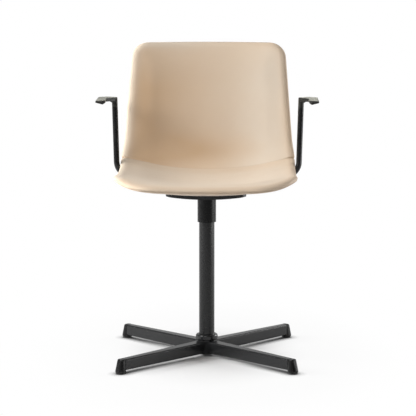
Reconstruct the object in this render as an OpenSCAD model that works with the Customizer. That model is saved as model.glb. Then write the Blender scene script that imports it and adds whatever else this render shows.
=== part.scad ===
// Swivel armchair with a one-piece upholstered shell on a four-star base.
// The origin is on the column axis at floor level, the sitter faces -Y and +Z is up.

/* [Star base] */
// Distance from the column axis to the centre of each foot
foot_radius = 304.8; // [270:0.1:340]
// Height of the underside of the legs above the floor
leg_clearance = 8.5; // [7:0.5:20]
// Height of a leg where it leaves the hub
leg_root_h = 31; // [24:0.5:40]
// Width of a leg where it leaves the hub
leg_root_w = 30; // [26:0.5:40]
// Height of a leg at its outer end
leg_tip_h = 28.5; // [20:0.5:30]
// Width of a leg at its outer end
leg_tip_w = 20.5; // [18:0.5:26]
// Rounding of the long edges of the legs
leg_edge_r = 3.5; // [1:0.5:8]
// Wall of the hub round the foot of the column
hub_wall = 5; // [3:0.5:10]
// How far the hub widens from below its collar to its foot
hub_flare = 6; // [0:0.5:10]
// Height of the hub
hub_h = 50; // [46:1:80]
// How far the rounded collar at the top of the hub stands out
collar_bulge = 3.5; // [1:0.5:6]
// Turn of the base against the seat in the resting position
base_turn = 1.2; // [0:0.1:45]

/* [Feet] */
// Diameter of the plastic foot under each leg
foot_d = 27; // [22:1:34]
// Diameter of the glide pad
glide_d = 23; // [16:1:30]
// Thickness of the glide pad
glide_t = 2.4; // [1:0.1:4]

/* [Column] */
// Outer diameter of the column tube
column_d = 40; // [38:1:48]
// Wall of the column tube
column_wall = 2; // [1.5:0.1:3]
// Diameter of the turning spindle
spindle_d = 22; // [18:1:24]
// Length of the spindle below the top of the column
spindle_drop = 104; // [70:1:160]
// Length of each plastic bush inside the column
bush_len = 20; // [12:1:30]

/* [Swivel head] */
// Wall of the sleeve that covers the top of the column
sleeve_wall = 3.1; // [2:0.1:5]
// Distance the sleeve reaches down over the column
sleeve_cover = 42; // [30:1:80]
// Diameter of the bearing balls
ball_d = 5; // [3:0.5:5.5]
// Number of bearing balls
ball_count = 12; // [8:1:14]
// Thickness of each bearing washer
race_t = 2.5; // [1.5:0.1:4]

/* [Seat plate] */
// Width of the plate under the shell
plate_w = 204; // [160:1:240]
// Distance from the column axis to the front edge of the plate
plate_front = 112; // [96:1:130]
// Thickness of the plate in its middle
plate_t = 4.7; // [4:0.1:8]
// Rise of the underside of the plate from its middle to its sides
plate_rise = 7.5; // [4:0.5:10]
// Distance of the shell screws from the middle, sideways
screw_x = 70; // [50:1:80]
// Distance of the shell screws from the column axis, front and rear
screw_y = 62; // [40:1:80]
// Diameter of the shell screws
screw_d = 6; // [5:0.5:7]

/* [Shell] */
// Distance from the column axis to the front edge of the seat
seat_front = 268; // [250:1:280]
// Height of the front edge of the seat
front_height = 468; // [430:1:500]
// Width of the seat
seat_w = 460; // [440:1:464]
// Width of the shell at the seam between the seat and the back
waist_w = 459; // [440:1:464]
// Width of the back at its top
top_w = 407; // [360:1:430]
// Drop of the top edge from its middle to its corners
top_crown = 4.3; // [0:0.1:8]
// How much further back the ends of the seam lie than its middle
seam_bow = 26; // [0:1:40]
// Radius of the front corners of the seat
seat_corner_r = 105; // [60:1:140]
// Radius of the top corners of the back
back_corner_r = 42; // [25:1:80]
// Thickness of the padded shell in its middle
shell_t = 27; // [25:0.5:30]
// Thickness of the padded shell near its edge
edge_t = 18; // [17:0.5:22]
// Thickness of the moulded core of the shell
core_t = 8; // [6:0.5:10]
// Thickness of the leather
leather_t = 1.3; // [1:0.1:2]

/* [Shell curve] */
// Slope of the seat at its front edge, in degrees
start_angle = -5; // [-10:0.5:5]
// Length of the front stretch of the seat, measured along the shell
front_len = 110; // [100:1:130]
// Turn of the front stretch, in degrees
front_turn = -3.5; // [-8:0.1:4]
// Length of the middle stretch of the seat
seat_len = 170; // [150:1:190]
// Turn of the middle stretch, in degrees
seat_turn = 9; // [4:0.1:12]
// Length of the rear stretch of the seat
hip_len = 90; // [80:1:100]
// Turn of the rear stretch, in degrees
hip_turn = 6.5; // [3:0.1:10]
// Length of the bend below the seam
low_bend_len = 40; // [30:1:50]
// Turn of the bend below the seam, in degrees
low_bend_turn = 18.2; // [14:0.1:22]
// Length of the bend above the seam
high_bend_len = 85; // [75:1:100]
// Turn of the bend above the seam, in degrees
high_bend_turn = 38.8; // [34:0.1:44]
// Length of the lower back
waist_len = 60; // [50:1:80]
// Turn of the lower back, in degrees
waist_turn = 13; // [8:0.1:16]
// Length of the upper back
back_len = 227.5; // [190:0.5:280]
// Turn of the upper back, in degrees
back_turn = 3; // [0:0.1:8]
// Rise of the sides above the middle line at the front edge
front_rise = 9; // [4:0.5:14]
// Rise of the sides at the front corners
corner_rise = 27; // [16:0.5:30]
// Rise of the sides beside the seat
seat_rise = 34; // [26:0.5:38]
// Rise of the sides at the seam
seam_rise = 31; // [26:0.5:36]
// Rise of the sides at the waist
waist_rise = 34; // [28:0.5:38]
// Rise of the sides at the shoulders
shoulder_rise = 22; // [14:0.5:28]
// Rise of the sides at the top of the back
top_rise = 18; // [10:0.5:24]

/* [Arms] */
// Outer diameter of the arm tubes
arm_d = 15; // [12:0.5:16]
// Wall of the arm tubes
arm_wall = 1.5; // [1:0.1:2.5]
// Distance of the arm tubes behind the column axis
arm_y = 115; // [105:1:125]
// Gap between the shell and the arm posts
arm_gap = 3; // [2:0.5:20]
// Height above the front edge of the seat at which a post leaves its bend
arm_bend_rise = 24; // [18:1:30]
// Radius of the bends of the arm tubes
arm_bend_r = 38; // [32:1:44]
// Outward lean of the posts
arm_lean = 1.7; // [0:0.1:4]
// Backward lean of the posts
arm_rake = 4; // [0:0.5:8]
// Height of the top of the armrests above the front edge of the seat
armrest_rise = 193; // [160:1:230]
// Length of an armrest in front of its post
armrest_front = 92; // [60:1:120]
// Length of an armrest behind its post
armrest_back = 58; // [30:1:80]
// Distance from the post to the inner edge of its armrest pad
armrest_reach = 18.5; // [15:0.5:24]
// Width of an armrest pad
armrest_w = 25.5; // [20:0.5:40]
// Thickness of an armrest pad at its thickest
armrest_t = 10; // [8:0.5:14]

/* [Hidden] */
$fn = 64;
// Overlap that lets a cut run cleanly past a face
cut = 1;
// Radial clearance of a part that turns in another
running = 0.06;
// Radial clearance of a part that is fixed in another
fixed = 0.05;
// Gap between flat faces that turn over each other
face_gap = 0.05;
// Gap between the layers of the shell
layer_gap = 0.1;

column_r = column_d / 2;
column_bore_r = column_r - column_wall;
spindle_r = spindle_d / 2;

// Shell profile along its middle, as arcs of length and turn, from the front edge to the top
seat_arcs = [
    [front_len, front_turn], [seat_len, seat_turn], [hip_len, hip_turn], [low_bend_len, low_bend_turn]
];
back_arcs = [[high_bend_len, high_bend_turn], [waist_len, waist_turn], [back_len, back_turn]];
arcs = concat(seat_arcs, back_arcs);
function run(list, n) = n <= 0 ? 0 : list[n - 1][0] + run(list, n - 1);
crease_s = run(seat_arcs, len(seat_arcs));
shell_len = run(arcs, len(arcs));
// Rise of the sides of the shell above its middle line, by distance from the front edge
corner_s = 60;
seat_s = 140;
before_seam = 20;
after_seam = 90;
below_top = 60;
side_rise = [
    [0, front_rise], [corner_s, corner_rise], [seat_s, seat_rise], [crease_s - before_seam, seam_rise],
    [crease_s + after_seam, waist_rise], [shell_len - below_top, shoulder_rise], [shell_len, top_rise]
];
rise_power = 2.2;
edge_round = 18;
crown_span = 150;
bow_span = 110;
swell_width = 70;
seam_lift = layer_gap / 2;
core_inset = 5;
ring_share = [0.5, 0.13, 0];
middle_columns = 12;
corner_rows = 5;
seat_mid_rows = 6;
bend_rows = 5;
back_mid_rows = 4;
top_rows = 4;
bend_span = 145;

// One step along an arc of the profile: position, height and heading
function arc_end(p, l, k) = abs(k) < 1e-6
    ? [p[0] + l * cos(p[2]), p[1] + l * sin(p[2]), p[2]]
    : let (r = l / k * 180 / PI)
      [p[0] + r * (sin(p[2] + k) - sin(p[2])), p[1] + r * (cos(p[2]) - cos(p[2] + k)), p[2] + k];
function profile(s, i = 0, p = [-seat_front, front_height, start_angle]) =
    let (l = arcs[i][0], k = arcs[i][1])
    s <= l || i == len(arcs) - 1
        ? arc_end(p, s, k * s / l)
        : profile(s - l, i + 1, arc_end(p, l, k));

// Half width of the shell outline before its corners are rounded
function half_w(s) = s < crease_s
    ? seat_w / 2 + (waist_w - seat_w) / 2 * max(0, s - arcs[0][0]) / (crease_s - arcs[0][0])
    : waist_w / 2 + (top_w - waist_w) / 2 * (s - crease_s) / (shell_len - crease_s);

// Half width of the outline drawn in by the edge rounding, with round corners
function inner_w(s) =
    let (r1 = seat_corner_r, r2 = back_corner_r, w = half_w(s), t = s - shell_len + r2)
    s < r1 ? w - r1 + sqrt(max(0, pow(r1 - edge_round, 2) - pow(r1 - s, 2)))
    : t > 0 ? w - r2 + sqrt(max(0, pow(r2 - edge_round, 2) - t * t))
    : w - edge_round;

// Outward direction in the developed outline at a point of the inner outline
function outward(x, s) =
    let (r1 = seat_corner_r, r2 = back_corner_r, w = half_w(s), t = s - shell_len + r2, q = abs(x))
    s < r1 && q > w - r1 - 0.001 ? [sign(x) * (q - w + r1), s - r1] / norm([q - w + r1, s - r1])
    : t > 0 && q > w - r2 - 0.001 ? [sign(x) * (q - w + r2), t] / norm([q - w + r2, t])
    : s <= edge_round + 0.001 ? [0, -1]
    : s >= shell_len - edge_round - 0.001 ? [0, 1]
    : [sign(x), 0];

// Distance from a point to the outline of the shell
function edge_gap(x, s) =
    let (r1 = seat_corner_r, r2 = back_corner_r, w = half_w(s), t = s - shell_len + r2, q = abs(x))
    s < r1 && q > w - r1 ? r1 - norm([q - w + r1, s - r1])
    : t > 0 && q > w - r2 ? r2 - norm([q - w + r2, t])
    : min(w - q, s, shell_len - s);

// Half thickness at a distance from the outline, for a layer that lies in by d
function half_t(e, d, mid, rim) =
    let (r = edge_round - d, q = 1 - min(max(e - d, 0), r) / r, t = min(max(e, 0) / swell_width, 1))
    rim * sqrt(max(0, 1 - q * q)) + (mid - rim) * t * t * (3 - 2 * t);

// Point of the middle surface of the shell, and the direction square to it
function mid_point(x, s) =
    let (p = profile(s), l = lookup(s, side_rise) * pow(abs(x) / half_w(s), rise_power))
    [x, p[0] - sin(p[2]) * l, p[1] + cos(p[2]) * l];
function mid_normal(x, s) =
    let (
        p = profile(s),
        g = lookup(s, side_rise) * rise_power * pow(abs(x) / half_w(s), rise_power - 1) / half_w(s),
        n = [-sign(x) * g, -sin(p[2]), cos(p[2])]
    )
    n / norm(n);

// Distance along the profile once the top edge is crowned and the seam is bowed
function bowed(x, s) =
    let (near = max(0, 1 - pow((s - crease_s) / bow_span, 2)), top = max(0, s - shell_len + crown_span))
    s + seam_bow * pow(abs(x) / half_w(s), 2.6) * near * near
        - top_crown * pow(x / half_w(s), 2) * pow(top / crown_span, 2);
// A layer face is given as [side, inset, half thickness in the middle, half thickness at the rim, lift]
function face_point(x, s, e, f) =
    let (c = bowed(x, s))
    mid_point(x, c) + mid_normal(x, c) * (f[0] * half_t(e, f[1], f[2], f[3]) + f[4]);

columns = [for (j = [0:middle_columns]) 2 * j / middle_columns - 1];
// Distances of the grid rows along the profile, closer together round the corners and the bend
bend_end = crease_s + bend_span;
top_start = shell_len - back_corner_r;
row_s = concat(
    [for (i = [0:corner_rows]) seat_corner_r - (seat_corner_r - edge_round) * cos(90 * i / corner_rows)],
    [for (i = [1:seat_mid_rows]) crease_s - (crease_s - seat_corner_r) * pow(1 - i / seat_mid_rows, 1.35)],
    [for (i = [1:bend_rows]) crease_s + bend_span * i / bend_rows],
    [for (i = [1:back_mid_rows]) bend_end + (top_start - bend_end) * i / back_mid_rows],
    [for (i = [1:top_rows]) top_start + (back_corner_r - edge_round) * sin(90 * i / top_rows)]
);
seat_rows = corner_rows + seat_mid_rows;
last_row = len(row_s) - 1;

// Grid points of one face for rows a to b, then its rings; shift moves the cut row off the seam
function row_at(i, a, b, shift) = row_s[i] + ((i == a && a > 0) || (i == b && b < last_row) ? shift : 0);
function path(a, b) = concat(
    a == 0 ? [] : [[a, middle_columns]],
    a == 0 && b < last_row ? [for (i = [b:-1:1]) [i, 0]] : [],
    a == 0 ? [for (j = [0:middle_columns]) [0, j]] : [],
    [for (i = [a + 1:b - (b == last_row ? 1 : 0)]) [i, middle_columns]],
    b == last_row ? [for (j = [middle_columns:-1:0]) [last_row, j]] : [],
    b == last_row ? [for (i = [last_row - 1:-1:max(a, 1)]) [i, 0]] : []
);
function grid_points(f, a, b, shift) = [
    for (i = [a:b]) for (j = [0:middle_columns])
        let (s = row_at(i, a, b, shift), x = columns[j] * inner_w(s))
        face_point(x, s, edge_gap(x, s), f)
];
function ring_points(f, a, b, shift) = [
    for (k = ring_share) for (q = path(a, b))
        let (
            s = row_at(q[0], a, b, shift), x = columns[q[1]] * inner_w(s), g = outward(x, s),
            e = f[1] + k * (edge_round - f[1]), o = edge_round - e
        )
        face_point(x + g[0] * o, s + g[1] * o, e, f)
];

// One layer of the shell between two faces, over grid rows a to b
module layer(top, bottom, a = 0, b = last_row, shift = 0) {
    nc = middle_columns + 1;
    nr = b - a + 1;
    loop = path(a, b);
    n = len(loop);
    closed = a == 0 && b == last_row;
    count = nr * nc + len(ring_share) * n;
    function ring_id(r, i) = r == 0 ? (loop[i][0] - a) * nc + loop[i][1] : nr * nc + (r - 1) * n + i;
    quads = concat(
        [for (i = [0:nr - 2]) for (j = [0:nc - 2])
            [i * nc + j, i * nc + j + 1, (i + 1) * nc + j + 1, (i + 1) * nc + j]],
        [for (r = [0:len(ring_share) - 1]) for (i = [0:n - (closed ? 1 : 2)])
            let (m = (i + 1) % n) [ring_id(r + 1, i), ring_id(r + 1, m), ring_id(r, m), ring_id(r, i)]]
    );
    rings = len(ring_share);
    cut_row = a == 0 ? nr - 1 : 0;
    border = concat(
        [for (i = [0:n - 1]) ring_id(rings, i)],
        closed ? [] : [for (r = [rings - 1:-1:0]) ring_id(r, n - 1)],
        closed ? [] : [for (j = [1:nc - 2]) cut_row * nc + (a == 0 ? nc - 1 - j : j)],
        closed ? [] : [for (r = [0:rings - 1]) ring_id(r, 0)]
    );
    nb = len(border);
    faces = concat(
        [for (q = quads) [q[0], q[2], q[1]]],
        [for (q = quads) [q[0], q[3], q[2]]],
        [for (q = quads) [count + q[0], count + q[1], count + q[2]]],
        [for (q = quads) [count + q[0], count + q[2], count + q[3]]],
        [for (i = [0:nb - 1]) let (m = (i + 1) % nb) [border[i], border[m], count + border[m]]],
        [for (i = [0:nb - 1]) let (m = (i + 1) % nb) [border[i], count + border[m], count + border[i]]]
    );
    points = concat(
        grid_points(top, a, b, shift), ring_points(top, a, b, shift),
        grid_points(bottom, a, b, shift), ring_points(bottom, a, b, shift)
    );
    polyhedron(points, faces, convexity = 6);
}

// Faces of the layers, from the outer skin to the core
function skin(side, depth) =
    [side, depth, shell_t / 2 - depth, edge_t / 2 - depth, side * seam_lift];
function core_face(side, gap) =
    [side, core_inset - gap, core_t / 2 + gap, core_t / 2 - 0.5 + gap, side * seam_lift];
outer_top = skin(1, 0);
cover_top = skin(1, leather_t);
foam_top = skin(1, leather_t + layer_gap);
outer_under = skin(-1, 0);
cover_under = skin(-1, leather_t);
foam_under = skin(-1, leather_t + layer_gap);

// Height of the underside of the shell above a point of the plate, found by its distance along the profile
function under_point(x, s) = face_point(x, s, edge_gap(x, s), outer_under);
function s_at_y(x, y, lo = corner_s, hi = crease_s + before_seam, n = 18) =
    let (mid = (lo + hi) / 2)
    n == 0 ? mid : under_point(x, mid)[1] < y ? s_at_y(x, y, mid, hi, n - 1) : s_at_y(x, y, lo, mid, n - 1);
function under_z(x, y) = under_point(x, s_at_y(x, y))[2];

// Plate screws and their inserts
screw_head_d = screw_d + 5;
screw_head_h = 3.2;
screw_washer_d = screw_d + 7;
screw_washer_t = 1;
insert_d = screw_d + 3;
// Gap between the plate and the shell above it
plate_gap = 0.4;
plate_low = round(10 * (under_z(0, 0) - plate_gap - plate_t)) / 10;
screw_seat_z = plate_low + 6.5;
insert_low = 0.1;
insert_top = min([for (y = [-screw_y, screw_y])
    face_point(screw_x, s_at_y(screw_x, y), swell_width, core_face(1, 0))[2]]) - 1.5;
plate_columns = 10;
plate_rows = 10;

// Swivel stack, each height built on the one above
top_washer_t = 1.5;
top_washer_r = spindle_r + 4;
top_bolt_d = 8;
top_bolt_head_d = 14;
top_bolt_head_h = 3.8;
top_bolt_len = 20;
spindle_top = plate_low - 1.6;
bush_flange_t = 2;
spigot_h = 18.4;
spigot_z = plate_low - spigot_h;
race_high_z = spigot_z - race_t;
ball_z = race_high_z - face_gap - ball_d / 2;
race_low_z = ball_z - ball_d / 2 - face_gap - race_t;
column_top = race_low_z - bush_flange_t;
spindle_bottom = column_top - spindle_drop;
sleeve_bottom = column_top - sleeve_cover;
sleeve_top = plate_low - 0.2;
// Space between the column and the sleeve, filled by the sleeve bush at the lower end
sleeve_space = 0.9;
sleeve_inner_r = column_r + sleeve_space;
spigot_r = sleeve_inner_r - fixed;
sleeve_bush_len = 9;
race_outer_r = column_r - 1.2;
ball_ring_r = (spindle_r + race_outer_r) / 2;
cage_t = ball_d / 2;
circlip_t = 1.2;
circlip_z = spindle_bottom + 7;
retainer_t = 1.5;
lower_bush_z = circlip_z + circlip_t + retainer_t + 2 * face_gap;

// Hub, and the bolt that pulls the column into it
hub_bottom = leg_clearance - 1.5;
hub_floor = 5;
pocket_h = 4;
collar_top = hub_bottom + hub_h;
bolt_d = 10;
bolt_head_d = 18;
bolt_head_h = 4;
washer_d = 22;
washer_t = 1.6;
washer_z = hub_bottom + pocket_h - washer_t;
column_seat = hub_bottom + pocket_h + hub_floor;
plug_h = 14;

// Legs and their plastic shoes
leg_start = 18;
leg_end = foot_radius - 8.8;
cap_top_len = 14;
cap_top_h = 7;
cap_gap = 0.2;
tenon_len = 20;
tenon_w = leg_tip_w - 8.5;
tenon_h = leg_tip_h - 11;
tenon_z = leg_clearance + (leg_tip_h - tenon_h) / 2;
foot_top = leg_clearance - 0.3;
foot_bevel = 2;
glide_stem_d = 6;
glide_stem_len = 4.5;

// Arm path in its own plane: level run, bend, sloping run, bend, post
arm_r = arm_d / 2;
arm_low = plate_low + 1.5;
arm_x = waist_w / 2 + arm_gap + arm_r;
arm_bend_z = front_height + arm_bend_rise;
armrest_top = front_height + armrest_rise;
slope_angle = 45;
plate_rear = arm_y + 7;
socket_d = arm_d + 9;
socket_in = 66;
socket_out = 118;
socket_wall_in = 4;
socket_screw_x = 96;
socket_screw_d = 6;
stem_h = 26;
arm_top_z = armrest_top - stem_h;
plug_d = arm_d - 2 * arm_wall - 2 * fixed;
plug_len = 22;
plug_screw_d = 5;
bracket_t = 10;

module at_screws() {
    for (x = [-screw_x, screw_x]) for (y = [-screw_y, screw_y]) translate([x, y, 0]) children();
}

// Bores in the shell for the barrels of its threaded inserts
module insert_bores(gap, top) {
    at_screws() translate([0, 0, plate_low]) cylinder(r = insert_d / 2 + gap, h = top - plate_low, $fn = 32);
}

// Rounded bar section standing square to the leg, w wide and h high
module leg_section(x, w, h) {
    r = leg_edge_r;
    translate([x, 0, leg_clearance]) for (y = [-w / 2 + r, w / 2 - r]) for (z = [r, h - r])
        translate([0, y, z]) rotate([0, 90, 0]) cylinder(r = r, h = 0.5, $fn = 24);
}

module leg() {
    hull() {
        leg_section(leg_start, leg_root_w, leg_root_h);
        leg_section(leg_end - 0.5, leg_tip_w, leg_tip_h);
    }
}

function leg_angle(i) = 45 + base_turn + 90 * i;

function round_corner(c, r, from, to, n = 8) =
    [for (i = [0:n]) [c[0] + r * cos(from + (to - from) * i / n), c[1] + r * sin(from + (to - from) * i / n)]];

module hub_body() {
    hr = column_r + hub_wall;
    wide = hr + hub_flare;
    cr = hr + collar_bulge;
    foot_r = 3;
    collar_r = 4.5;
    collar_low = collar_top - 15;
    rotate_extrude($fn = 96) polygon(concat(
        [[0, hub_bottom], [wide - foot_r, hub_bottom]],
        round_corner([wide - foot_r, hub_bottom + foot_r], foot_r, -90, 0, 4),
        [[hr, collar_low - 2.5]],
        round_corner([cr - collar_r, collar_low + collar_r], collar_r, -70, 0, 5),
        round_corner([cr - collar_r, collar_top - collar_r], collar_r, 0, 90),
        [[0, collar_top]]
    ));
}

module star_base() {
    color([0.09, 0.09, 0.095]) difference() {
        union() {
            hub_body();
            for (i = [0:3]) rotate([0, 0, leg_angle(i)]) leg();
        }
        translate([0, 0, column_seat]) cylinder(r = column_r + fixed, h = collar_top);
        translate([0, 0, hub_bottom - cut]) cylinder(r = bolt_d / 2 + 0.4, h = column_seat);
        translate([0, 0, hub_bottom - cut]) cylinder(r = washer_d / 2 + 0.5, h = pocket_h + cut);
        for (i = [0:3]) rotate([0, 0, leg_angle(i)]) {
            g = cap_gap;
            translate([leg_end - tenon_len - g, -tenon_w / 2 - g, tenon_z - g])
                cube([tenon_len + g + cut, tenon_w + 2 * g, tenon_h + 2 * g]);
        }
    }
}

module tenon() {
    translate([leg_end - tenon_len, -tenon_w / 2, tenon_z]) cube([tenon_len + 2, tenon_w, tenon_h]);
}

// Plastic shoe on the end of a leg: it widens to a round foot and plugs into the leg
module leg_cap(i) {
    top_z = leg_clearance + leg_tip_h;
    inner_r = 3;
    outer_r = 7;
    color([0.06, 0.06, 0.065]) rotate([0, 0, leg_angle(i)]) difference() {
        union() {
            hull() {
                for (y = [-1, 1]) {
                    translate([leg_end + inner_r, y * (leg_tip_w / 2 - inner_r), top_z - inner_r])
                        sphere(r = inner_r, $fn = 24);
                    translate([leg_end + cap_top_len - outer_r, y * (leg_tip_w / 2 - outer_r), 0])
                        for (edge = [[0, 2.4], [0.7, 1], [2.4, 0]])
                            translate([0, 0, top_z - cap_top_h])
                                cylinder(r = outer_r - edge[0], h = cap_top_h - edge[1], $fn = 48);
                }
                translate([foot_radius, 0, glide_t + foot_bevel])
                    cylinder(d = foot_d, h = foot_top - glide_t - foot_bevel, $fn = 48);
                translate([foot_radius, 0, glide_t]) cylinder(r = foot_d / 2 - foot_bevel, h = 1, $fn = 48);
            }
            tenon();
        }
        difference() {
            translate([leg_end - tenon_len - cut, -foot_d, leg_clearance - cap_gap])
                cube([tenon_len + cut + cap_gap, 2 * foot_d, leg_tip_h + 2]);
            tenon();
        }
        translate([foot_radius, 0, glide_t - cut])
            cylinder(r = glide_stem_d / 2 + fixed, h = glide_stem_len + cut + 0.3);
    }
}

module glide(i) {
    color([0.2, 0.2, 0.2]) rotate([0, 0, leg_angle(i)]) translate([foot_radius, 0, 0]) {
        cylinder(d1 = glide_d - 2, d2 = glide_d, h = 1);
        translate([0, 0, 1]) cylinder(d = glide_d, h = glide_t - 1);
        translate([0, 0, glide_t - 0.5]) cylinder(d = glide_stem_d, h = glide_stem_len + 0.5);
    }
}

module ring(outer, inner, z, h) {
    translate([0, 0, z]) difference() {
        cylinder(r = outer, h = h);
        translate([0, 0, -cut]) cylinder(r = inner, h = h + 2 * cut);
    }
}

module column_tube() {
    color([0.1, 0.1, 0.105]) ring(column_r, column_bore_r, column_seat, column_top - column_seat);
}

// Steel disc welded inside the foot of the column, threaded for the bolt
module column_plug() {
    color("dimgray") ring(column_bore_r - fixed, bolt_d / 2 + fixed, column_seat, plug_h);
}

module column_washer() {
    color("gray") ring(washer_d / 2, bolt_d / 2 + 0.3, washer_z, washer_t);
}

module hex_socket_bolt(d, head_d, head_h, length, socket) {
    difference() {
        union() {
            translate([0, 0, -head_h]) cylinder(d1 = head_d - 2, d2 = head_d, h = 1);
            translate([0, 0, 1 - head_h]) cylinder(d = head_d, h = head_h - 1);
            translate([0, 0, -0.1]) cylinder(d = d, h = length + 0.1);
        }
        translate([0, 0, -head_h - cut]) cylinder(d = socket, h = cut + head_h * 0.6, $fn = 6);
    }
}

module column_bolt() {
    color("gray") translate([0, 0, washer_z])
        hex_socket_bolt(bolt_d, bolt_head_d, bolt_head_h, column_seat + plug_h - 1 - washer_z, 8);
}

module lower_bush() {
    color("ivory") ring(column_bore_r - fixed, spindle_r + running, lower_bush_z, bush_len);
}

module upper_bush() {
    color("ivory") {
        difference() {
            union() {
                translate([0, 0, column_top - bush_len])
                    cylinder(r = column_bore_r - fixed, h = bush_len + 0.5);
                translate([0, 0, column_top]) cylinder(r = column_r, h = bush_flange_t);
            }
            translate([0, 0, column_top - bush_len - cut])
                cylinder(r = spindle_r + running, h = bush_len + bush_flange_t + 2 * cut);
        }
    }
}

module bearing_lower_washer() {
    color("silver") ring(race_outer_r, spindle_r + 0.3, race_low_z, race_t);
}

module at_balls() {
    for (i = [0:ball_count - 1])
        rotate([0, 0, 360 * i / ball_count]) translate([ball_ring_r, 0, ball_z]) children();
}

module bearing_cage() {
    color("goldenrod") difference() {
        ring(race_outer_r - 0.4, spindle_r + 0.6, ball_z - cage_t / 2, cage_t);
        at_balls() translate([0, 0, -cage_t]) cylinder(d = ball_d + 0.2, h = 2 * cage_t, $fn = 32);
    }
}

module bearing_balls() {
    color("silver") at_balls() sphere(d = ball_d, $fn = 32);
}

module bearing_upper_washer() {
    color("silver") ring(race_outer_r, spindle_r + fixed, race_high_z, race_t);
}

// Steel spindle with a groove for its circlip and a threaded top end
module spindle() {
    color("silver") difference() {
        translate([0, 0, spindle_bottom]) cylinder(r = spindle_r, h = spindle_top - spindle_bottom);
        ring(spindle_r + cut, spindle_r - 1, circlip_z - 0.05, circlip_t + 0.1);
        translate([0, 0, spindle_top - top_bolt_len])
            cylinder(r = top_bolt_d / 2 + fixed, h = top_bolt_len + cut);
    }
}

module spindle_washer() {
    color("gray") ring(column_bore_r - 1, spindle_r + fixed, circlip_z + circlip_t + face_gap, retainer_t);
}

module spindle_circlip() {
    color("dimgray") difference() {
        ring(spindle_r + 2.5, spindle_r - 0.95, circlip_z, circlip_t);
        translate([0, -1.5, circlip_z - cut]) cube([spindle_r + 5, 3, circlip_t + 2 * cut]);
    }
}

module spindle_top_washer() {
    color("gray") ring(top_washer_r, top_bolt_d / 2 + 0.3, spindle_top + 0.05, top_washer_t);
}

module spindle_top_bolt() {
    color("gray") translate([0, 0, spindle_top + 0.1 + top_washer_t]) mirror([0, 0, 1])
        hex_socket_bolt(top_bolt_d, top_bolt_head_d, top_bolt_head_h, top_bolt_len, 5);
}

// Sleeve that hangs from the plate and hides the bearing and the top of the column
module swivel_sleeve() {
    color([0.09, 0.09, 0.095])
        ring(sleeve_inner_r + sleeve_wall, sleeve_inner_r, sleeve_bottom, sleeve_top - sleeve_bottom);
}

module sleeve_bush() {
    color("black") ring(sleeve_inner_r - fixed, column_r + running, sleeve_bottom + 1, sleeve_bush_len);
}

// Dished plate: its top follows the underside of the shell, its underside is a shallow arch
function plate_y(i) = -plate_front + (plate_front + plate_rear) * i / plate_rows;
function plate_x(j) = -plate_w / 2 + plate_w * j / plate_columns;
function plate_under(x) = plate_low + plate_rise * pow(2 * x / plate_w, 2);
module plate_body() {
    nc = plate_columns + 1;
    nr = plate_rows + 1;
    count = nc * nr;
    tops = [for (i = [0:plate_rows]) for (j = [0:plate_columns])
        [plate_x(j), plate_y(i), under_z(plate_x(j), plate_y(i)) - plate_gap]];
    unders = [for (i = [0:plate_rows]) for (j = [0:plate_columns])
        [plate_x(j), plate_y(i), plate_under(plate_x(j))]];
    quads = [for (i = [0:nr - 2]) for (j = [0:nc - 2])
        [i * nc + j, i * nc + j + 1, (i + 1) * nc + j + 1, (i + 1) * nc + j]];
    border = concat(
        [for (j = [0:nc - 1]) j],
        [for (i = [1:nr - 1]) i * nc + nc - 1],
        [for (j = [nc - 2:-1:0]) (nr - 1) * nc + j],
        [for (i = [nr - 2:-1:1]) i * nc]
    );
    nb = len(border);
    polyhedron(concat(tops, unders), concat(
        [for (q = quads) [q[0], q[2], q[1]]],
        [for (q = quads) [q[0], q[3], q[2]]],
        [for (q = quads) [count + q[0], count + q[1], count + q[2]]],
        [for (q = quads) [count + q[0], count + q[2], count + q[3]]],
        [for (i = [0:nb - 1]) let (m = (i + 1) % nb) [border[i], border[m], count + border[m]]],
        [for (i = [0:nb - 1]) let (m = (i + 1) % nb) [border[i], count + border[m], count + border[i]]]
    ), convexity = 4);
}

// Outline of the plate with rounded corners
module plate_outline() {
    r = 18;
    for (x = [-1, 1]) for (y = [r - plate_front, plate_rear - r])
        translate([x * (plate_w / 2 - r), y]) circle(r = r, $fn = 48);
    translate([-plate_w / 2 + r, -plate_front]) square([plate_w - 2 * r, plate_front + plate_rear]);
    translate([-plate_w / 2, r - plate_front]) square([plate_w, plate_front + plate_rear - 2 * r]);
}

module seat_plate() {
    color([0.08, 0.08, 0.085]) difference() {
        union() {
            intersection() {
                plate_body();
                translate([0, 0, plate_low - cut]) linear_extrude(60) plate_outline();
            }
            translate([0, 0, spigot_z]) cylinder(r = spigot_r, h = plate_low + 3 - spigot_z);
            for (x = [-1, 1]) translate([x * socket_in, arm_y, arm_low]) rotate([0, x * 90, 0])
                cylinder(d = socket_d, h = socket_out - socket_in);
        }
        translate([0, 0, spigot_z - cut]) cylinder(r = spindle_r + fixed, h = 60);
        translate([0, 0, spindle_top]) cylinder(r = top_washer_r + 0.5, h = 30);
        at_screws() {
            translate([0, 0, plate_low - cut]) cylinder(d = screw_d + 0.6, h = 30, $fn = 32);
            translate([0, 0, plate_low - cut])
                cylinder(d = screw_washer_d + 1, h = screw_seat_z - plate_low + cut, $fn = 32);
        }
        for (x = [-1, 1]) {
            translate([x * (socket_in + socket_wall_in), arm_y, arm_low]) rotate([0, x * 90, 0])
                cylinder(r = arm_r + fixed, h = socket_out - socket_in);
            translate([x * socket_screw_x, arm_y, arm_low - socket_d])
                cylinder(d = socket_screw_d + 2 * fixed, h = socket_d, $fn = 32);
        }
    }
}

module plate_washers() {
    color("gray") at_screws()
        ring(screw_washer_d / 2, screw_d / 2 + 0.2, screw_seat_z - screw_washer_t, screw_washer_t);
}

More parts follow.
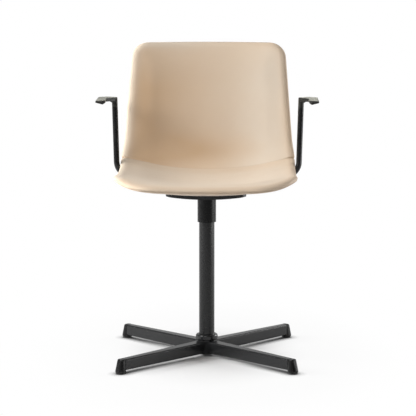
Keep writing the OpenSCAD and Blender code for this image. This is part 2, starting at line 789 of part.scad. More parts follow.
module plate_screws() {
    color("gray") at_screws() translate([0, 0, screw_seat_z - screw_washer_t])
        hex_socket_bolt(screw_d, screw_head_d, screw_head_h, insert_top - screw_seat_z, 4);
}

// Threaded barrels that run from the plate up into the core of the shell
module shell_inserts() {
    color("silver") for (x = [-screw_x, screw_x]) for (y = [-screw_y, screw_y]) {
        z = under_z(screw_x, y) + insert_low;
        translate([x, y, 0]) ring(insert_d / 2, screw_d / 2 + fixed, z, insert_top - z);
    }
}

// Centres of the two bends, to a thousandth so that neighbouring stretches meet exactly
function thousandth(v) = round(v * 1000) / 1000;
upper_centre = [
    thousandth(arm_x - arm_bend_r * cos(arm_lean)),
    thousandth(arm_bend_z + arm_bend_r * sin(arm_lean))
];
lower_centre_z = arm_low + arm_bend_r;
bend_drop = upper_centre[1] - lower_centre_z;
lower_centre = [thousandth(upper_centre[0] - bend_drop / tan(slope_angle)), lower_centre_z];
slope_len = bend_drop / sin(slope_angle);
post_len = thousandth((arm_top_z - arm_bend_z) / cos(arm_lean) / cos(arm_rake));

module at_centre(c) {
    translate([c[0], 0, c[1]]) children();
}

module bend(from, turn, r) {
    rotate([90, 0, 0]) rotate([0, 0, from])
        rotate_extrude(angle = turn, $fn = 96) translate([arm_bend_r, 0]) circle(r = r, $fn = 32);
}

// Solid rod along the arm path in the XZ plane. The straight stretches are a hair thicker than the bends
// and run a little way over them, so that each joint is one clean step.
module arm_rod(r, more) {
    hair = 0.02;
    lap = 0.3;
    run_start = socket_in + socket_wall_in + 0.5 - more;
    at_centre(upper_centre) {
        rotate([0, arm_lean, 0]) translate([arm_bend_r, 0, -lap])
            cylinder(r = r + hair, h = post_len + more + lap, $fn = 32);
        bend(slope_angle - 90, 90 - slope_angle - arm_lean, r);
        rotate([0, 90 - slope_angle, 0]) translate([arm_bend_r, 0, -slope_len - lap])
            cylinder(r = r + hair, h = slope_len + 2 * lap, $fn = 32);
    }
    at_centre(lower_centre) {
        bend(-90, slope_angle, r);
        translate([run_start - lower_centre[0], 0, -arm_bend_r]) rotate([0, 90, 0])
            cylinder(r = r + hair, h = lower_centre[0] - run_start + lap, $fn = 32);
    }
}

module rake() {
    translate([0, arm_y, arm_low]) rotate([-arm_rake, 0, 0]) translate([0, 0, -arm_low]) children();
}

module arm_tube(side) {
    color([0.09, 0.09, 0.095]) mirror([side < 0 ? 1 : 0, 0, 0]) rake() difference() {
        arm_rod(arm_r, 0);
        arm_rod(arm_r - arm_wall, cut);
        post_frame() translate([-arm_r - cut, 0, -plug_len / 2]) rotate([0, 90, 0])
            cylinder(d = plug_screw_d + 2 * fixed, h = arm_r + cut, $fn = 32);
    }
}

module arm_socket_screws() {
    color("gray") for (x = [-1, 1]) translate([x * socket_screw_x, arm_y, arm_low - socket_d / 2 + 0.5])
        cylinder(d = socket_screw_d, h = socket_d / 2 - arm_r - 0.6, $fn = 32);
}

// Place at the top end of the post, with the axis of the post as Z, before and after the backward lean
module post_frame() {
    at_centre(upper_centre) rotate([0, arm_lean, 0]) translate([arm_bend_r, 0, post_len]) children();
}
module at_post_top() {
    rake() post_frame() children();
}
post_top_x = arm_x + tan(arm_lean) * (armrest_top - arm_bend_z);
post_top_y = arm_y + tan(arm_rake) * (armrest_top - arm_low);

pad_in = post_top_x + armrest_reach;
pad_edge_r = 1.8;
// Corners of the pad section at a distance behind the post, dropping by a height
module pad_section(y, drop, in) {
    r = pad_edge_r;
    thick = armrest_t - r;
    for (p = [
        [in + r, -r], [pad_in + armrest_w - r, -r - 0.8], [pad_in + armrest_w - r, -r - 2.2],
        [pad_in + 7, -thick], [in + r, -thick + 2.5]
    ]) translate([p[0], post_top_y + y, armrest_top - drop + p[1]]) sphere(r = r, $fn = 16);
}

module armrest(side) {
    nose = 5;
    rear = armrest_back;
    color([0.07, 0.07, 0.075]) mirror([side < 0 ? 1 : 0, 0, 0]) union() {
        hull() {
            pad_section(pad_edge_r - armrest_front, 0.6, pad_in + nose);
            pad_section(nose - armrest_front, 0, pad_in);
        }
        hull() {
            pad_section(nose - armrest_front, 0, pad_in);
            pad_section(8, 0, pad_in);
        }
        hull() {
            pad_section(8, 0, pad_in);
            pad_section(rear * 0.6, 1.6, pad_in + 1);
        }
        hull() {
            pad_section(rear * 0.6, 1.6, pad_in + 1);
            pad_section(rear - pad_edge_r, 6, pad_in + 5);
        }
        hull() {
            translate([post_top_x, post_top_y, armrest_top - bracket_t]) cylinder(r = arm_r, h = bracket_t - 1);
            translate([post_top_x, post_top_y, armrest_top - 1]) cylinder(r = arm_r - 1, h = 1);
            for (y = [-26, 22]) translate([pad_in + 4, post_top_y + y, armrest_top - bracket_t + 1])
                cylinder(r = 3, h = bracket_t - 1.4);
        }
        hull() {
            translate([post_top_x, post_top_y, armrest_top - bracket_t - 5]) cylinder(r = arm_r - 1, h = 6);
            translate([post_top_x + arm_r + 3, post_top_y, armrest_top - bracket_t]) cylinder(r = 4, h = 1);
        }
        at_post_top() {
            cylinder(r = arm_r, h = stem_h - 4);
            translate([0, 0, -plug_len]) cylinder(d = plug_d, h = plug_len + 1);
        }
    }
}

// Small screws that hold the plugs of the armrests in the posts
module armrest_screws() {
    stand = 0.3;
    color("dimgray") for (side = [-1, 1]) mirror([side < 0 ? 1 : 0, 0, 0]) at_post_top()
        translate([-arm_r - stand, 0, -plug_len / 2]) rotate([0, 90, 0])
            cylinder(d = plug_screw_d, h = arm_r + stand - plug_d / 2 - fixed, $fn = 32);
}

module shell_core() {
    color("tan") difference() {
        layer(core_face(1, 0), core_face(-1, 0));
        insert_bores(0.1, insert_top + 0.2);
    }
}

module seat_foam() {
    color("khaki") layer(foam_top, core_face(1, layer_gap), 0, seat_rows, -layer_gap / 2);
}
module back_foam() {
    color("khaki") layer(foam_top, core_face(1, layer_gap), seat_rows, last_row, layer_gap / 2);
}
module seat_cover() {
    color([0.85, 0.76, 0.64]) layer(outer_top, cover_top, 0, seat_rows, -layer_gap / 2);
}
module back_cover() {
    color([0.8, 0.7, 0.57]) layer(outer_top, cover_top, seat_rows, last_row, layer_gap / 2);
}

module rear_padding() {
    color("khaki") difference() {
        layer(core_face(-1, layer_gap), foam_under);
        insert_bores(0.3, insert_top);
    }
}

module rear_cover() {
    color([0.8, 0.7, 0.57]) difference() {
        layer(cover_under, outer_under);
        insert_bores(0.3, insert_top);
    }
}

star_base();
for (i = [0:3]) leg_cap(i);
for (i = [0:3]) glide(i);
column_tube();
column_plug();
column_washer();
column_bolt();
lower_bush();
upper_bush();
bearing_lower_washer();
bearing_cage();
bearing_balls();
bearing_upper_washer();
spindle();
spindle_washer();
spindle_circlip();
spindle_top_washer();
spindle_top_bolt();
swivel_sleeve();
sleeve_bush();
seat_plate();
plate_screws();
plate_washers();
shell_inserts();
arm_tube(-1);  // arm_tube_left
arm_tube(1);  // arm_tube_right
arm_socket_screws();
armrest(-1);  // armrest_left
armrest(1);  // armrest_right
armrest_screws();
shell_core();
seat_foam();
back_foam();
rear_padding();
seat_cover();
back_cover();
rear_cover();
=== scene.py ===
import math
import bmesh
import bpy
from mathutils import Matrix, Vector, noise


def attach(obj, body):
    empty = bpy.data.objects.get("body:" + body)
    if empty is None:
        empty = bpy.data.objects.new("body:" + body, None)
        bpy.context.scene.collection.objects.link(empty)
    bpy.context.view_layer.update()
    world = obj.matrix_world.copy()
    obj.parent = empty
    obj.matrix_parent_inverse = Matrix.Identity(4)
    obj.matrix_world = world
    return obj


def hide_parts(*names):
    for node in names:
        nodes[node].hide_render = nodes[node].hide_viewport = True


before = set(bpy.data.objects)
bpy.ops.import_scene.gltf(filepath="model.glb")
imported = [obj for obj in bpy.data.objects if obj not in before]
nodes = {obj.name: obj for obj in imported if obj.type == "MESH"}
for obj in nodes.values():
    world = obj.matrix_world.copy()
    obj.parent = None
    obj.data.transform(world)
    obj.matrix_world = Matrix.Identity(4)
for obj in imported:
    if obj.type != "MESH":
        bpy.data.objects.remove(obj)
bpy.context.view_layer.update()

scene = bpy.context.scene
scene.view_settings.view_transform = "Standard"

# Camera. It stands five metres in front of the chair and a little above the seat, with a long lens,
# so the legs and the rims of the shell line up with the photograph. Its angles are in degrees.
LOOKS_DOWN, LOOKS_LEFT = 8.586, 1.2
camera_data = bpy.data.cameras.new("camera")
camera_data.lens = 174.06
camera_data.sensor_width = 36.0
camera_data.shift_x = 0.0029
camera_data.clip_end = 60.0
camera = bpy.data.objects.new("camera", camera_data)
camera.location = (0.1075, -5.131, 1.162)
camera.rotation_euler = (math.radians(90.0 - LOOKS_DOWN), 0.0, math.radians(LOOKS_LEFT))
scene.collection.objects.link(camera)
scene.camera = camera


# Floor. A wide, matt, white studio floor: it keeps the soft shadow of the base and runs out into white, and its
# white carries a painted contact shadow where a foot stands on it. Polished parts mirror its front half only
# dimly.
def new_material(name):
    """A new material with an empty node tree, its nodes and its links."""
    material = bpy.data.materials.new(name)
    material.use_nodes = True
    material.node_tree.nodes.clear()
    return material, material.node_tree.nodes, material.node_tree.links


def add(nodes_of, kind, sockets=None, **fields):
    """Adds a shader node, and sets its fields and then the values of its sockets."""
    node = nodes_of.new(kind)
    for key, value in fields.items():
        setattr(node, key, value)
    for key, value in (sockets or {}).items():
        node.inputs[key].default_value = value
    return node


FLOOR_SIZE = 14.0
SHADOW_WIDE, SHADOW_LONG = 0.27, 0.40
bm = bmesh.new()
bmesh.ops.create_grid(bm, x_segments=1, y_segments=1, size=FLOOR_SIZE)
floor_mesh = bpy.data.meshes.new("floor")
bm.to_mesh(floor_mesh)
bm.free()
floor = bpy.data.objects.new("floor", floor_mesh)
scene.collection.objects.link(floor)
material, tree, links = new_material("studio_floor")
out = add(tree, "ShaderNodeOutputMaterial")
paint = add(tree, "ShaderNodeBsdfDiffuse", {"Color": (0.58, 0.58, 0.58, 1)})
white = add(tree, "ShaderNodeEmission", {"Color": (1, 1, 1, 1)})
# A painted contact shadow: ambient occlusion dims the floor's white where parts stand close over it.
covered = add(tree, "ShaderNodeAmbientOcclusion", {"Distance": 0.024}, samples=8)
painted_contact_shadow = add(tree, "ShaderNodeMapRange", {"From Min": 0.40, "To Min": 0.0})
links.new(covered.outputs["AO"], painted_contact_shadow.inputs["Value"])
links.new(painted_contact_shadow.outputs[0], white.inputs["Strength"])
place = add(tree, "ShaderNodeTexCoord")
oval = add(tree, "ShaderNodeVectorMath", {1: (1 / SHADOW_WIDE, 1 / SHADOW_LONG, 0.0)}, operation="MULTIPLY")
away = add(tree, "ShaderNodeVectorMath", operation="LENGTH")
near = add(tree, "ShaderNodeMapRange", {
    "From Min": 0.05, "From Max": 1.0, "To Max": 0.90,
}, interpolation_type="SMOOTHSTEP")
far = add(tree, "ShaderNodeMapRange", {
    "From Min": 0.9, "From Max": 2.0, "To Max": 0.10,
}, interpolation_type="SMOOTHSTEP")
fade = add(tree, "ShaderNodeMath", operation="ADD")
seen = add(tree, "ShaderNodeLightPath")
split = add(tree, "ShaderNodeSeparateXYZ")
dim_front = add(tree, "ShaderNodeMapRange", {"From Min": -0.2, "From Max": 0.8, "To Min": 0.25})
mirrored = add(tree, "ShaderNodeMath", operation="MULTIPLY")
seen_or_mirrored = add(tree, "ShaderNodeMath", operation="MAXIMUM")
share = add(tree, "ShaderNodeMath", operation="MULTIPLY")
mix = add(tree, "ShaderNodeMixShader")
links.new(place.outputs["Object"], oval.inputs[0])
links.new(oval.outputs[0], away.inputs[0])
links.new(away.outputs["Value"], near.inputs["Value"])
links.new(away.outputs["Value"], far.inputs["Value"])
links.new(near.outputs[0], fade.inputs[0])
links.new(far.outputs[0], fade.inputs[1])
links.new(seen.outputs["Is Camera Ray"], seen_or_mirrored.inputs[0])
links.new(place.outputs["Object"], split.inputs[0])
links.new(split.outputs["Y"], dim_front.inputs["Value"])
links.new(seen.outputs["Is Glossy Ray"], mirrored.inputs[0])
links.new(dim_front.outputs[0], mirrored.inputs[1])
links.new(mirrored.outputs[0], seen_or_mirrored.inputs[1])
links.new(seen_or_mirrored.outputs[0], share.inputs[0])
links.new(fade.outputs[0], share.inputs[1])
links.new(share.outputs[0], mix.inputs[0])
links.new(paint.outputs[0], mix.inputs[1])
links.new(white.outputs[0], mix.inputs[2])
links.new(mix.outputs[0], out.inputs["Surface"])
floor_mesh.materials.append(material)

# Studio light. A large soft box stands square to the left of the chair, and weaker ones in front, overhead
# and to the right. Polished parts see a pale backdrop behind and a dark room in front, but not the large box.
world = bpy.data.worlds.new("studio")
scene.world = world
world.use_nodes = True
tree, links = world.node_tree.nodes, world.node_tree.links
tree.clear()
out = add(tree, "ShaderNodeOutputWorld")
coords = add(tree, "ShaderNodeTexCoord")
split = add(tree, "ShaderNodeSeparateXYZ")
ramp = add(tree, "ShaderNodeMapRange", {"From Min": -0.5, "From Max": 0.6, "To Min": 0.03, "To Max": 0.85})
higher = add(tree, "ShaderNodeMapRange", {
    "From Min": 0.10, "From Max": 0.30, "To Min": 1.0, "To Max": 0.45,
})
backdrop = add(tree, "ShaderNodeMath", operation="MULTIPLY")
mirrored = add(tree, "ShaderNodeBackground", {"Color": (1, 1, 1, 1)})
room = add(tree, "ShaderNodeBackground", {"Color": (1, 1, 1, 1), "Strength": 0.03})
white = add(tree, "ShaderNodeBackground", {"Color": (1, 1, 1, 1), "Strength": 1.0})
seen = add(tree, "ShaderNodeLightPath")
glossy_mix = add(tree, "ShaderNodeMixShader")
mix = add(tree, "ShaderNodeMixShader")
links.new(coords.outputs["Generated"], split.inputs[0])
links.new(split.outputs["Y"], ramp.inputs["Value"])
links.new(split.outputs["Z"], higher.inputs["Value"])
links.new(ramp.outputs[0], backdrop.inputs[0])
links.new(higher.outputs[0], backdrop.inputs[1])
links.new(backdrop.outputs[0], mirrored.inputs["Strength"])
links.new(seen.outputs["Is Glossy Ray"], glossy_mix.inputs[0])
links.new(room.outputs[0], glossy_mix.inputs[1])
links.new(mirrored.outputs[0], glossy_mix.inputs[2])
links.new(seen.outputs["Is Camera Ray"], mix.inputs[0])
links.new(glossy_mix.outputs[0], mix.inputs[1])
links.new(white.outputs[0], mix.inputs[2])
links.new(mix.outputs[0], out.inputs["Surface"])


def soft_box(name, place, aim, width, height, power, mirrored=True):
    """A rectangular lamp that faces its aim; unless it is mirrored, polished parts don't show it."""
    data = bpy.data.lights.new(name, "AREA")
    data.shape = "RECTANGLE"
    data.size = width
    data.size_y = height
    data.energy = power
    lamp = bpy.data.objects.new(name, data)
    lamp.location = place
    lamp.rotation_euler = (Vector(aim) - Vector(place)).to_track_quat("-Z", "Y").to_euler()
    lamp.visible_glossy = mirrored
    scene.collection.objects.link(lamp)


CHAIR_MIDDLE = (0.0, 0.0, 0.55)
soft_box("key", (-3.7, 0.0, 1.80), CHAIR_MIDDLE, 1.6, 1.6, 240.0, mirrored=False)
soft_box("left_front", (-3.3, -1.5, 2.25), CHAIR_MIDDLE, 1.6, 1.6, 80.0)
soft_box("front", (-0.9, -3.35, 2.55), CHAIR_MIDDLE, 1.6, 1.6, 52.0)
soft_box("overhead", (0.0, -0.7, 4.5), CHAIR_MIDDLE, 4.2, 4.2, 26.0)
soft_box("rear_right", (3.35, 1.95, 1.6), CHAIR_MIDDLE, 1.6, 1.6, 100.0)
soft_box("right_low", (2.6, -0.1, 0.22), (0.0, 0.0, 0.10), 1.8, 0.3, 12.0)


# Leather seat, back and rear. One moulded shell is covered in three panels of natural tan leather over thin
# foam: seat and back meet in a sewn valley across the bend, and both wrap round the rim to a seam behind.
# Lengths are in millimetres: x runs across the shell, s along its middle line from the front edge.
FRONT_Y, FRONT_Z, FRONT_TILT = -268.0, 468.0, -5.0
SHELL_ARCS = [(110, -3.5), (170, 9), (90, 6.5), (40, 18.2), (85, 38.8), (60, 13), (227.5, 3)]
CREASE = 410.0
LENGTH = 782.5
SEAT_WIDTH, WAIST, TOP_WIDTH = 460.0, 459.0, 407.0
TAPER_FROM = 110.0
SEAT_CORNER, BACK_CORNER = 105.0, 42.0
SIDE_RISE = [(0, 9), (60, 27), (140, 34), (CREASE - 20, 31), (CREASE + 90, 34),
             (LENGTH - 60, 22), (LENGTH, 18)]
RISE_POWER = 2.2
EDGE_ROUND = 18.0
HALF_RIM, HALF_MIDDLE, SWELL = 9.0, 13.5, 70.0
TOP_CROWN, CROWN_SPAN = 4.3, 150.0
SEAM_BOW, BOW_SPAN, BOW_POWER = 26.0, 110.0, 2.6
TOLERANCE = 1e-3


def profile(s):
    """Place and slope of the shell's middle line, which is a chain of arcs."""
    y, z, angle = FRONT_Y, FRONT_Z, math.radians(FRONT_TILT)
    for i, (length, turn) in enumerate(SHELL_ARCS):
        last = s <= length or i == len(SHELL_ARCS) - 1
        step = s if last else length
        bend = math.radians(turn) * step / length
        r = step / bend if abs(bend) > 1e-9 else 0.0
        if r:
            y += r * (math.sin(angle + bend) - math.sin(angle))
            z += r * (math.cos(angle) - math.cos(angle + bend))
        angle += bend
        if last:
            return y, z, angle
        s -= length


def side_rise(s):
    """How far the sides stand above the middle, on a smooth curve through its knots."""
    knots = SIDE_RISE
    s = min(max(s, 0.0), LENGTH)
    i = max(k for k in range(len(knots) - 1) if knots[k][0] <= s)

    def slope(k):
        a, b = max(k - 1, 0), min(k + 1, len(knots) - 1)
        return (knots[b][1] - knots[a][1]) / (knots[b][0] - knots[a][0])

    h = knots[i + 1][0] - knots[i][0]
    t = (s - knots[i][0]) / h
    return ((2 * t**3 - 3 * t * t + 1) * knots[i][1] + (t**3 - 2 * t * t + t) * h * slope(i)
            + (3 * t * t - 2 * t**3) * knots[i + 1][1] + (t**3 - t * t) * h * slope(i + 1))


def half_width(s):
    """Half the width of the shell, which narrows to its waist and on to the top."""
    if s < CREASE:
        return SEAT_WIDTH / 2 + (WAIST - SEAT_WIDTH) / 2 * max(0.0, s - TAPER_FROM) / (CREASE - TAPER_FROM)
    return WAIST / 2 + (TOP_WIDTH - WAIST) / 2 * (s - CREASE) / (LENGTH - CREASE)


def inner_width(s):
    """Half the width of a panel inside of the round of its rim and corners."""
    w, t = half_width(s), s - LENGTH + BACK_CORNER
    if s < SEAT_CORNER:
        return w - SEAT_CORNER + math.sqrt(max(0.0, (SEAT_CORNER - EDGE_ROUND) ** 2 - (SEAT_CORNER - s) ** 2))
    if t > 0:
        return w - BACK_CORNER + math.sqrt(max(0.0, (BACK_CORNER - EDGE_ROUND) ** 2 - t * t))
    return w - EDGE_ROUND


def outward(x, s):
    """The direction in which a point of the panel's border faces, in the flat pattern."""
    w, t, q = half_width(s), s - LENGTH + BACK_CORNER, abs(x)
    side = 1.0 if x > 0 else -1.0
    if s < SEAT_CORNER and q > w - SEAT_CORNER - TOLERANCE:
        v = Vector((side * (q - w + SEAT_CORNER), s - SEAT_CORNER))
    elif t > 0 and q > w - BACK_CORNER - TOLERANCE:
        v = Vector((side * (q - w + BACK_CORNER), t))
    elif s <= EDGE_ROUND + TOLERANCE:
        v = Vector((0.0, -1.0))
    elif s >= LENGTH - EDGE_ROUND - TOLERANCE:
        v = Vector((0.0, 1.0))
    else:
        v = Vector((side, 0.0))
    return v.normalized()


def edge_distance(x, s):
    """How far inside of the shell's outline a point lies."""
    w, t, q = half_width(s), s - LENGTH + BACK_CORNER, abs(x)
    if s < SEAT_CORNER and q > w - SEAT_CORNER:
        return SEAT_CORNER - math.hypot(q - w + SEAT_CORNER, s - SEAT_CORNER)
    if t > 0 and q > w - BACK_CORNER:
        return BACK_CORNER - math.hypot(q - w + BACK_CORNER, t)
    return min(w - q, s, LENGTH - s)


def shell_point(x, s, height):
    """The place in the room of a point of the flat pattern, at a height above the shell's middle layer."""
    w = half_width(s)
    bow = SEAM_BOW * (abs(x) / w) ** BOW_POWER * max(0.0, 1 - ((s - CREASE) / BOW_SPAN) ** 2) ** 2
    crown = TOP_CROWN * (x / w) ** 2 * (max(0.0, s - LENGTH + CROWN_SPAN) / CROWN_SPAN) ** 2
    s += bow - crown
    y, z, angle = profile(s)
    w = half_width(s)
    rise = side_rise(s)
    lift = rise * (abs(x) / w) ** RISE_POWER
    grade = rise * RISE_POWER * (abs(x) / w) ** (RISE_POWER - 1) / w
    side = 1.0 if x > 0 else -1.0
    normal = Vector((-side * grade, -math.sin(angle), math.cos(angle))).normalized()
    return Vector((x, y - math.sin(angle) * lift, z + math.cos(angle) * lift)) + normal * height


def smooth(t):
    """Eases from 0 to 1."""
    t = min(max(t, 0.0), 1.0)
    return t * t * (3 - 2 * t)


def spaced(first, last, count):
    """Evenly spaced values, both ends included."""
    return [first + (last - first) * i / count for i in range(count + 1)]


SEAM_ROLL = 12.0
SEAM_HALF = 0.01
SEAM_MIDDLE, SEAM_END = 0.72, 4.6
VALLEY_HALF = 3.2
TUCK_OUT, TUCK_POWER = 226.0, 18


def seam_depth(x, s):
    """A faint valley across the middle, which deepens into a tuck where the seam goes over the rims."""
    gap = abs(s - CREASE)
    valley = SEAM_MIDDLE * math.exp(-(gap / VALLEY_HALF) ** 2)
    tuck = 1 - math.sqrt(1 - (1 - min(gap / SEAM_ROLL, 1.0)) ** 2)
    return valley + SEAM_END * min(abs(x) / TUCK_OUT, 1.0) ** TUCK_POWER * tuck


SLOW_WAVE, SLOW_ACROSS, SLOW_ALONG, SLOW_LAYER = 0.30, 62.0, 75.0, 3.0
QUICK_WAVE, QUICK_ACROSS, QUICK_ALONG, QUICK_LAYER = 0.12, 24.0, 30.0, 8.0
PUCKER, PUCKER_PITCH, PUCKER_SLANT = 0.75, 2.6, 0.05
PUCKER_INSIDE, PUCKER_BEFORE, PUCKER_SPAN = 13.0, 34.0, 24.0
PUCKER_RIGHT, PUCKER_LEFT = 0.7, 0.45


def softness(x, s):
    """The slow unevenness of foam under leather, and small puckers that the rim seam draws into the waist."""
    slow = SLOW_WAVE * noise.noise(Vector((x / SLOW_ACROSS, s / SLOW_ALONG, SLOW_LAYER)))
    quick = QUICK_WAVE * noise.noise(Vector((x / QUICK_ACROSS, s / QUICK_ALONG, QUICK_LAYER)))
    rim = math.exp(-(((half_width(s) - abs(x)) - PUCKER_INSIDE) / PUCKER_INSIDE) ** 2)
    waist = math.exp(-((s - CREASE + PUCKER_BEFORE) / PUCKER_SPAN) ** 2)
    folds = math.cos((s - CREASE) / PUCKER_PITCH + PUCKER_SLANT * abs(x))
    return slow + quick + PUCKER * rim * waist * folds * (PUCKER_RIGHT if x > 0 else PUCKER_LEFT)


# Painted light and shade in the hide's tone; the rims are partly paler stretched leather.
SEAT_PALE, SEAT_FADE, FADE_SPAN = 0.92, 0.22, 60.0
BACK_PALE, PAINTED_LIGHT_PER_MM = 0.58, 0.0034
EVEN_SHARE, EVEN_FROM, EVEN_SPAN = 0.5, 640.0, 110.0
HOLLOW_SHADE, HOLLOW_X, HOLLOW_S, HOLLOW_WIDE, HOLLOW_LONG = 0.50, -60.0, 484.0, 200.0, 44.0
RIM_BAND, RIM_PALE, RIM_PER_MM, LIP_PALE, LIP_END = 20.0, 0.78, 0.001, 0.60, 60.0


def painted_light_tone(x, s):
    """Painted light and shade in the hide's tone: paler on the seat and to the right, darker in the hollow and
    by the bend.
    """
    edge = math.exp(-(max(edge_distance(x, s), 0.0) / RIM_BAND) ** 2)
    # Painted light on the seat, with painted shade darkening it by the bend; on the back, painted light to the
    # right and painted shade in the hollow.
    if s < CREASE:
        hide = SEAT_PALE - SEAT_FADE * smooth((s - CREASE + FADE_SPAN) / FADE_SPAN)
    else:
        side = PAINTED_LIGHT_PER_MM * x * (1 - EVEN_SHARE * smooth((s - EVEN_FROM) / EVEN_SPAN))
        hollow = math.exp(-((s - HOLLOW_S) / HOLLOW_LONG) ** 2 - ((x - HOLLOW_X) / HOLLOW_WIDE) ** 2)
        hide = BACK_PALE + side - HOLLOW_SHADE * hollow
    hide = min(max(hide, 0.0), 1.0)
    # The rims are paler, partly as stretched leather and partly as painted highlight, more so on the lit left.
    rim = RIM_PALE - RIM_PER_MM * x if s > LIP_END else LIP_PALE
    return hide + (rim - hide) * edge


SEAT_STEPS, BACK_STEPS = 14, 8
FINE_ZONE, BESIDE_SEAM = 80, 17
seat_bow = [SEAT_CORNER - (SEAT_CORNER - EDGE_ROUND) * math.cos(math.radians(90 * i / SEAT_STEPS))
            for i in range(SEAT_STEPS + 1)]
back_bow = [LENGTH - BACK_CORNER + (BACK_CORNER - EDGE_ROUND) * math.sin(math.radians(90 * i / BACK_STEPS))
            for i in range(BACK_STEPS + 1)]
seam_steps = [0.0, 0.06, 0.5, 1.5, 3.0, 5.2, 8.2, SEAM_ROLL]
seat_rows = (seat_bow + spaced(SEAT_CORNER, CREASE - FINE_ZONE, 16)[1:]
             + spaced(CREASE - FINE_ZONE, CREASE - BESIDE_SEAM, 15)[1:]
             + [CREASE - SEAM_HALF - r for r in reversed(seam_steps)])
back_rows = ([CREASE + SEAM_HALF + r for r in seam_steps]
             + spaced(CREASE + BESIDE_SEAM, LENGTH - BACK_CORNER, 28) + back_bow[1:])
rear_rows = seat_bow + spaced(SEAT_CORNER, LENGTH - BACK_CORNER, 44)[1:] + back_bow[1:]
# The columns of a panel stand closer together towards its sides.
COLUMNS = 48
SPREAD = math.radians(78)

FOAM_HOLD, SEAM_HOLD_SPAN = 0.15, 7.0
PLATE_HALF, PLATE_FIRST, PLATE_LAST = 125.0, 130.0, 420.0
TOP_GRIP, TOP_GRIP_SPAN, REAR_GRIP, REAR_GRIP_SPAN = 60.0, 40.0, 150.0, 30.0


def firmness(x, s, angle, side):
    """How firmly the leather is held: fully at its seam and rims and over the seat plate, else by the foam."""
    if side > 0:
        rim = smooth((angle - TOP_GRIP) / TOP_GRIP_SPAN)
        held_by = math.exp(-((s - CREASE) / SEAM_HOLD_SPAN) ** 2)
    else:
        rim = smooth((REAR_GRIP - angle) / REAR_GRIP_SPAN)
        held_by = 1.0 if abs(x) < PLATE_HALF and PLATE_FIRST < s < PLATE_LAST else 0.0
    return min(1.0, max(FOAM_HOLD, rim, held_by))


SLACK_INSIDE, SLACK_WIDE, SLACK_BESIDE, SLACK_LONG = 30.0, 34.0, 26.0, 30.0


def slackness(x, s):
    """Where the leather is cut long: beside the ends of the seam, a little inside of the rim."""
    inside = half_width(s) - abs(x) - SLACK_INSIDE
    beside = abs(s - CREASE) - SLACK_BESIDE
    return math.exp(-(inside / SLACK_WIDE) ** 2 - (beside / SLACK_LONG) ** 2)


SEAM_TINT_DEPTH, RIM_TINT_DEPTH = 2.0, 1.5
UP_AND_FORWARD = Vector((0.0, -0.6, 0.8))


def leather_panel(name, rows, rim, side):
    """A flat pattern whose rim is rolled over ring by ring, laid on the shell.

    The rim lists the angle of each ring and how deep it is sunk. The side is 1 above the shell and -1 below it.
    """
    bm = bmesh.new()
    seam = bm.verts.layers.float.new("seam")
    roll_angle = bm.verts.layers.float.new("roll_angle")
    sunk = bm.verts.layers.float.new("sunk")
    painted_light = bm.verts.layers.float.new("painted_light")
    held = bm.verts.layers.float.new("held")
    slack = bm.verts.layers.float.new("slack")
    bmesh.ops.create_grid(bm, x_segments=COLUMNS, y_segments=len(rows) - 1, size=1.0)
    for v in bm.verts:
        s = rows[round((v.co.y + 1) / 2 * (len(rows) - 1))]
        across = math.sin(v.co.x * SPREAD) / math.sin(SPREAD)
        v.co = (across * inner_width(s), s, 0.0)
        v[roll_angle] = 0.0 if side > 0 else 180.0

    def on_cut(edge):
        """Whether an edge lies on the cut along the seam, which isn't rolled over."""
        ends = [v.co.y for v in edge.verts]
        cuts = [row for row in (rows[0], rows[-1]) if abs(row - CREASE) < 1.0]
        return any(all(abs(y - cut) < TOLERANCE / 10 for y in ends) for cut in cuts)

    edge_loop = [e for e in bm.edges if e.is_boundary and not on_cut(e)]
    reach = 0.0
    for angle, depth in rim:
        out_by = (EDGE_ROUND - depth) * math.sin(math.radians(angle))
        made = bmesh.ops.extrude_edge_only(bm, edges=edge_loop)["geom"]
        for v in [g for g in made if isinstance(g, bmesh.types.BMVert)]:
            g = outward(v.co.x, v.co.y)
            v.co += Vector((g.x, g.y, 0.0)) * (out_by - reach)
            v[roll_angle] = angle
            v[sunk] = depth
        edge_loop = [g for g in made if isinstance(g, bmesh.types.BMEdge)]
        reach = out_by
    for v in bm.verts:
        x, s = v.co.x, v.co.y
        angle = math.radians(v[roll_angle])
        sink = seam_depth(x, s) if side > 0 else 0.0
        swell = (HALF_MIDDLE - HALF_RIM) * smooth(edge_distance(x, s) / SWELL)
        flat = abs(math.cos(angle))
        height = math.cos(angle) * (HALF_RIM - v[sunk] - sink) + math.copysign(swell, math.cos(angle)) * flat
        if side > 0:
            height += softness(x, s) * max(0.0, math.cos(angle))
        v[seam] = max(smooth(sink / SEAM_TINT_DEPTH), smooth(v[sunk] / RIM_TINT_DEPTH))
        # The painted light and shade of the hide's tone, kept for its colour.
        v[painted_light] = painted_light_tone(x, s)
        v[held] = firmness(x, s, v[roll_angle], side)
        v[slack] = slackness(x, s)
        if math.sin(angle) > 1e-6:
            x -= math.copysign(sink * math.sin(angle), x)
        v.co = shell_point(x, s, height) / 1000.0
    bmesh.ops.recalc_face_normals(bm, faces=bm.faces)
    facing = sum((face.normal for face in bm.faces), Vector())
    if facing.dot(UP_AND_FORWARD) * side < 0:
        bmesh.ops.reverse_faces(bm, faces=bm.faces)
    mesh = bpy.data.meshes.new(name)
    bm.to_mesh(mesh)
    bm.free()
    for face in mesh.polygons:
        face.use_smooth = True
    piece = bpy.data.objects.new(name, mesh)
    scene.collection.objects.link(piece)
    return piece


SLACK = 0.03
SETTLE_FRAMES = 24
SETTLE_CAP = 0.0022
LEATHER_THICK = 0.0012


